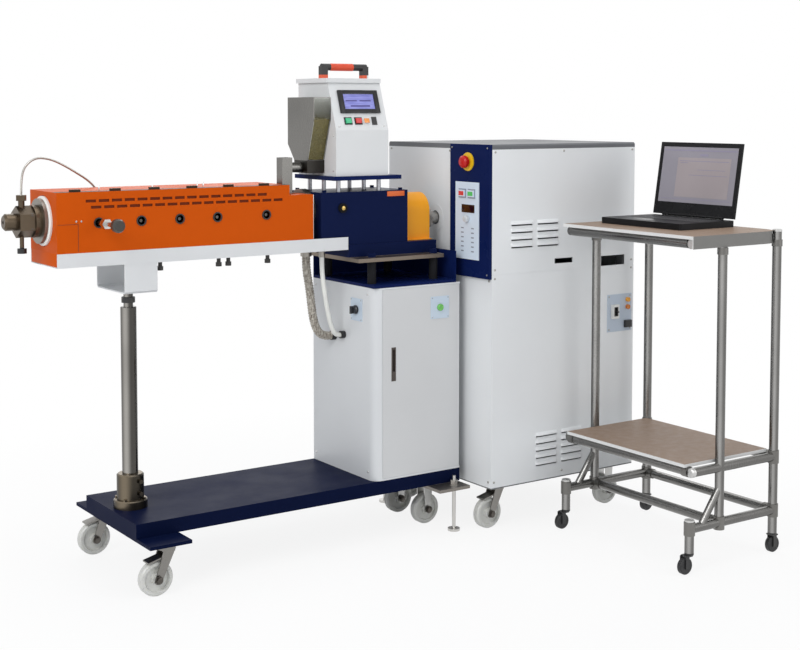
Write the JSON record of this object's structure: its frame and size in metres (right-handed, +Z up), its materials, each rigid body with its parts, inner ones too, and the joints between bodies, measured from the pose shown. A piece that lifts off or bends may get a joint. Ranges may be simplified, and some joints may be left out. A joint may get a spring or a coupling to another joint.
{
  "type": "plasticity tester",
  "caption": "Laboratory plasticity tester: a drive cabinet on casters couples to a wheeled twin-screw extruder with a pellet feeder, beside a pipe trolley carrying a laptop.",
  "frame": {"origin": "middle of the whole set's footprint, on the floor", "axes": "+X from the die's end along the extruder's axis to the drive unit, +Y from the trolley's side across to the far side, +Z up"},
  "size_m": [2.125, 1.225, 1.518],
  "materials": {
    "casing_paint": "satin",
    "roof_paint": "satin",
    "frame_steel": "satin",
    "shaft_steel": "satin",
    "navy_panel": "gloss",
    "plate_blue": "satin",
    "red_plastic": "gloss",
    "green_plastic": "gloss",
    "light_plastic": "gloss",
    "black_plastic": "matte",
    "zinc": "satin",
    "wheel_nylon": "satin",
    "wheel_black": "matte",
    "navy_paint": "gloss",
    "column_steel": "polished",
    "screw_steel": "polished",
    "guard_paint": "gloss",
    "barrel_steel": "satin",
    "cover_paint": "satin",
    "channel_paint": "satin",
    "die_steel": "satin",
    "feeder_paint": "satin",
    "hopper_steel": "satin",
    "conduit_steel": "satin",
    "hose_grey": "satin",
    "hose_white": "satin",
    "trolley_alu": "satin",
    "board": "satin",
    "laptop_black": "satin"
  },
  "bodies": {
    "drive_unit": {"drive_casing": "casing_paint", "drive_roof": "roof_paint", "drive_chassis": "frame_steel", "drive_motor": "frame_steel", "control_panel": "navy_panel", "operator_plates": "plate_blue"},
    "drive_spindle": {"drive_spindle": "shaft_steel"},
    "estop_button": {"estop_button": "red_plastic"},
    "start_button": {"start_button": "green_plastic"},
    "stop_button": {"stop_button": "red_plastic"},
    "mode_selector": {"mode_selector": "light_plastic"},
    "breaker_lever": {"breaker_lever": "black_plastic"},
    "drive_fork_front": {"drive_fork_front": "zinc"},
    "drive_wheel_front": {"drive_wheel_front": "wheel_nylon"},
    "drive_fixed_wheel_front": {"drive_fixed_wheel_front": "wheel_nylon"},
    "drive_fork_back": {"drive_fork_back": "zinc"},
    "drive_wheel_back": {"drive_wheel_back": "wheel_nylon"},
    "drive_fixed_wheel_back": {"drive_fixed_wheel_back": "wheel_nylon"},
    "carriage": {"carriage_base": "navy_paint", "support_column": "column_steel", "cabinet_shell": "casing_paint", "gearbox_tray": "navy_paint", "gearbox_case": "navy_paint", "coupling_guard": "guard_paint", "barrel": "barrel_steel", "barrel_cover": "cover_paint", "barrel_channel": "channel_paint", "die_head": "die_steel", "feeder_stand": "navy_paint", "feeder_housing": "feeder_paint", "feeder_hopper": "hopper_steel", "sensor_conduit": "conduit_steel", "corrugated_hose": "hose_grey", "white_hose": "hose_white"},
    "cabinet_door": {"cabinet_door": "casing_paint"},
    "cabinet_button": {"cabinet_button": "green_plastic"},
    "cabinet_selector": {"cabinet_selector": "black_plastic"},
    "input_shaft": {"input_shaft": "shaft_steel"},
    "near_screw": {"near_screw": "screw_steel"},
    "far_screw": {"far_screw": "screw_steel"},
    "feeder_auger": {"feeder_auger": "screw_steel"},
    "feeder_run_button": {"feeder_run_button": "green_plastic"},
    "feeder_stop_button": {"feeder_stop_button": "red_plastic"},
    "feeder_power_switch": {"feeder_power_switch": "black_plastic"},
    "carriage_fork_front": {"carriage_fork_front": "zinc"},
    "carriage_wheel_front": {"carriage_wheel_front": "wheel_nylon"},
    "carriage_fixed_wheel_front": {"carriage_fixed_wheel_front": "wheel_nylon"},
    "carriage_fork_back": {"carriage_fork_back": "zinc"},
    "carriage_wheel_back": {"carriage_wheel_back": "wheel_nylon"},
    "carriage_fixed_wheel_back": {"carriage_fixed_wheel_back": "wheel_nylon"},
    "trolley": {"trolley_frame": "trolley_alu", "trolley_boards": "board", "laptop_base": "laptop_black"},
    "laptop_lid": {"laptop_lid": "laptop_black"},
    "trolley_fork_near": {"trolley_fork_near": "zinc"},
    "trolley_wheel_near": {"trolley_wheel_near": "wheel_black"},
    "trolley_fixed_wheel_near": {"trolley_fixed_wheel_near": "wheel_black"},
    "trolley_fork_far": {"trolley_fork_far": "zinc"},
    "trolley_wheel_far": {"trolley_wheel_far": "wheel_black"},
    "trolley_fixed_wheel_far": {"trolley_fixed_wheel_far": "wheel_black"}
  },
  "joints": [
    {"name": "spindle_turn", "type": "hinge", "parent": "drive_unit", "child": "drive_spindle", "pos_m": [0.4205, 0.3345, 1.00963], "axis": [1, 0, 0], "continuous": true},
    {"name": "estop_push", "type": "slide", "parent": "drive_unit", "child": "estop_button", "axis": [1, 0, 0], "range_m": [0, 0.005]},
    {"name": "start_push", "type": "slide", "parent": "drive_unit", "child": "start_button", "axis": [1, 0, 0], "range_m": [0, 0.003], "stiffness_N_per_m": 300},
    {"name": "stop_push", "type": "slide", "parent": "drive_unit", "child": "stop_button", "axis": [1, 0, 0], "range_m": [0, 0.003], "stiffness_N_per_m": 300},
    {"name": "mode_turn", "type": "hinge", "parent": "drive_unit", "child": "mode_selector", "pos_m": [0.4005, 0.1375, 1.018], "axis": [1, 0, 0], "range_deg": [-60, 60]},
    {"name": "breaker_throw", "type": "hinge", "parent": "drive_unit", "child": "breaker_lever", "pos_m": [0.9495, 0.0175, 0.684], "axis": [1, 0, 0], "range_deg": [-18, 18]},
    {"name": "drive_swivel_front", "type": "hinge", "parent": "drive_unit", "child": "drive_fork_front", "pos_m": [0.4955, 0.0975, 0.12], "axis": [0, 0, 1], "continuous": true},
    {"name": "drive_roll_front", "type": "hinge", "parent": "drive_fork_front", "child": "drive_wheel_front", "pos_m": [0.4605, 0.0975, 0.05], "axis": [0, 1, 0], "continuous": true},
    {"name": "drive_fixed_roll_front", "type": "hinge", "parent": "drive_unit", "child": "drive_fixed_wheel_front", "pos_m": [0.9805, 0.0975, 0.05], "axis": [0, 1, 0], "continuous": true},
    {"name": "drive_swivel_back", "type": "hinge", "parent": "drive_unit", "child": "drive_fork_back", "pos_m": [0.4955, 0.5425, 0.12], "axis": [0, 0, 1], "continuous": true},
    {"name": "drive_roll_back", "type": "hinge", "parent": "drive_fork_back", "child": "drive_wheel_back", "pos_m": [0.4605, 0.5425, 0.05], "axis": [0, 1, 0], "continuous": true},
    {"name": "drive_fixed_roll_back", "type": "hinge", "parent": "drive_unit", "child": "drive_fixed_wheel_back", "pos_m": [0.9805, 0.5425, 0.05], "axis": [0, 1, 0], "continuous": true},
    {"name": "carriage_roll_out", "type": "slide", "parent": "drive_unit", "child": "carriage", "axis": [-1, 0, 0], "range_m": [0, 0.6]},
    {"name": "door_swing", "type": "hinge", "parent": "carriage", "child": "cabinet_door", "pos_m": [0.3785, 0.1595, 0.5], "axis": [0, 0, 1], "range_deg": [0, 90]},
    {"name": "lamp_push", "type": "slide", "parent": "cabinet_door", "child": "cabinet_button", "axis": [0, 1, 0], "range_m": [0, 0.003], "stiffness_N_per_m": 300},
    {"name": "side_selector_turn", "type": "hinge", "parent": "carriage", "child": "cabinet_selector", "pos_m": [0.0455, 0.2515, 0.736], "axis": [1, 0, 0], "range_deg": [-45, 45]},
    {"name": "input_turn", "type": "hinge", "parent": "carriage", "child": "input_shaft", "pos_m": [0.2205, 0.3345, 1.00963], "axis": [1, 0, 0], "continuous": true},
    {"name": "near_screw_turn", "type": "hinge", "parent": "carriage", "child": "near_screw", "pos_m": [-0.0795, 0.324, 1.058], "axis": [1, 0, 0], "continuous": true},
    {"name": "far_screw_turn", "type": "hinge", "parent": "carriage", "child": "far_screw", "pos_m": [-0.0795, 0.345, 1.058], "axis": [1, 0, 0], "continuous": true},
    {"name": "auger_turn", "type": "hinge", "parent": "carriage", "child": "feeder_auger", "pos_m": [-0.0795, 0.3345, 1.19], "axis": [1, 0, 0], "continuous": true},
    {"name": "run_push", "type": "slide", "parent": "carriage", "child": "feeder_run_button", "axis": [0, 0.948, -0.3181], "range_m": [0, 0.003], "stiffness_N_per_m": 300},
    {"name": "halt_push", "type": "slide", "parent": "carriage", "child": "feeder_stop_button", "axis": [0, 0.948, -0.3181], "range_m": [0, 0.003], "stiffness_N_per_m": 300},
    {"name": "power_rock", "type": "hinge", "parent": "carriage", "child": "feeder_power_switch", "pos_m": [0.1085, 0.23799, 1.33512], "axis": [1, 0, 0], "range_deg": [-6, 6]},
    {"name": "carriage_swivel_front", "type": "hinge", "parent": "carriage", "child": "carriage_fork_front", "pos_m": [-0.6825, 0.1105, 0.12], "axis": [0, 0, 1], "continuous": true},
    {"name": "carriage_wheel_roll_front", "type": "hinge", "parent": "carriage_fork_front", "child": "carriage_wheel_front", "pos_m": [-0.7175, 0.1105, 0.05], "axis": [0, 1, 0], "continuous": true},
    {"name": "carriage_fixed_roll_front", "type": "hinge", "parent": "carriage", "child": "carriage_fixed_wheel_front", "pos_m": [0.3205, 0.2565, 0.05], "axis": [0, 1, 0], "continuous": true},
    {"name": "carriage_swivel_back", "type": "hinge", "parent": "carriage", "child": "carriage_fork_back", "pos_m": [-0.6825, 0.5615, 0.12], "axis": [0, 0, 1], "continuous": true},
    {"name": "carriage_wheel_roll_back", "type": "hinge", "parent": "carriage_fork_back", "child": "carriage_wheel_back", "pos_m": [-0.7175, 0.5615, 0.05], "axis": [0, 1, 0], "continuous": true},
    {"name": "carriage_fixed_roll_back", "type": "hinge", "parent": "carriage", "child": "carriage_fixed_wheel_back", "pos_m": [0.3205, 0.4125, 0.05], "axis": [0, 1, 0], "continuous": true},
    {"name": "trolley_roll_out", "type": "slide", "parent": "drive_unit", "child": "trolley", "axis": [0, -1, 0], "range_m": [0, 0.5]},
    {"name": "laptop_fold", "type": "hinge", "parent": "trolley", "child": "laptop_lid", "pos_m": [1.0165, -0.2645, 1.0263], "axis": [0, 1, 0], "range_deg": [-99, 30]},
    {"name": "trolley_swivel_near", "type": "hinge", "parent": "trolley", "child": "trolley_fork_near", "pos_m": [0.6735, -0.5985, 0.055], "axis": [0, 0, 1], "continuous": true},
    {"name": "trolley_wheel_roll_near", "type": "hinge", "parent": "trolley_fork_near", "child": "trolley_wheel_near", "pos_m": [0.6555, -0.5985, 0.025], "axis": [0, 1, 0], "continuous": true},
    {"name": "trolley_fixed_roll_near", "type": "hinge", "parent": "trolley", "child": "trolley_fixed_wheel_near", "pos_m": [1.0375, -0.5985, 0.025], "axis": [0, 1, 0], "continuous": true},
    {"name": "trolley_swivel_far", "type": "hinge", "parent": "trolley", "child": "trolley_fork_far", "pos_m": [0.6735, -0.0495, 0.055], "axis": [0, 0, 1], "continuous": true},
    {"name": "trolley_wheel_roll_far", "type": "hinge", "parent": "trolley_fork_far", "child": "trolley_wheel_far", "pos_m": [0.6555, -0.0495, 0.025], "axis": [0, 1, 0], "continuous": true},
    {"name": "trolley_fixed_roll_far", "type": "hinge", "parent": "trolley", "child": "trolley_fixed_wheel_far", "pos_m": [1.0375, -0.0495, 0.025], "axis": [0, 1, 0], "continuous": true}
  ],
  "couplings": [
    {"joint": "input_turn", "follows": "spindle_turn", "ratio": 1},
    {"joint": "near_screw_turn", "follows": "spindle_turn", "ratio": -3.125},
    {"joint": "far_screw_turn", "follows": "spindle_turn", "ratio": -3.125}
  ]
}
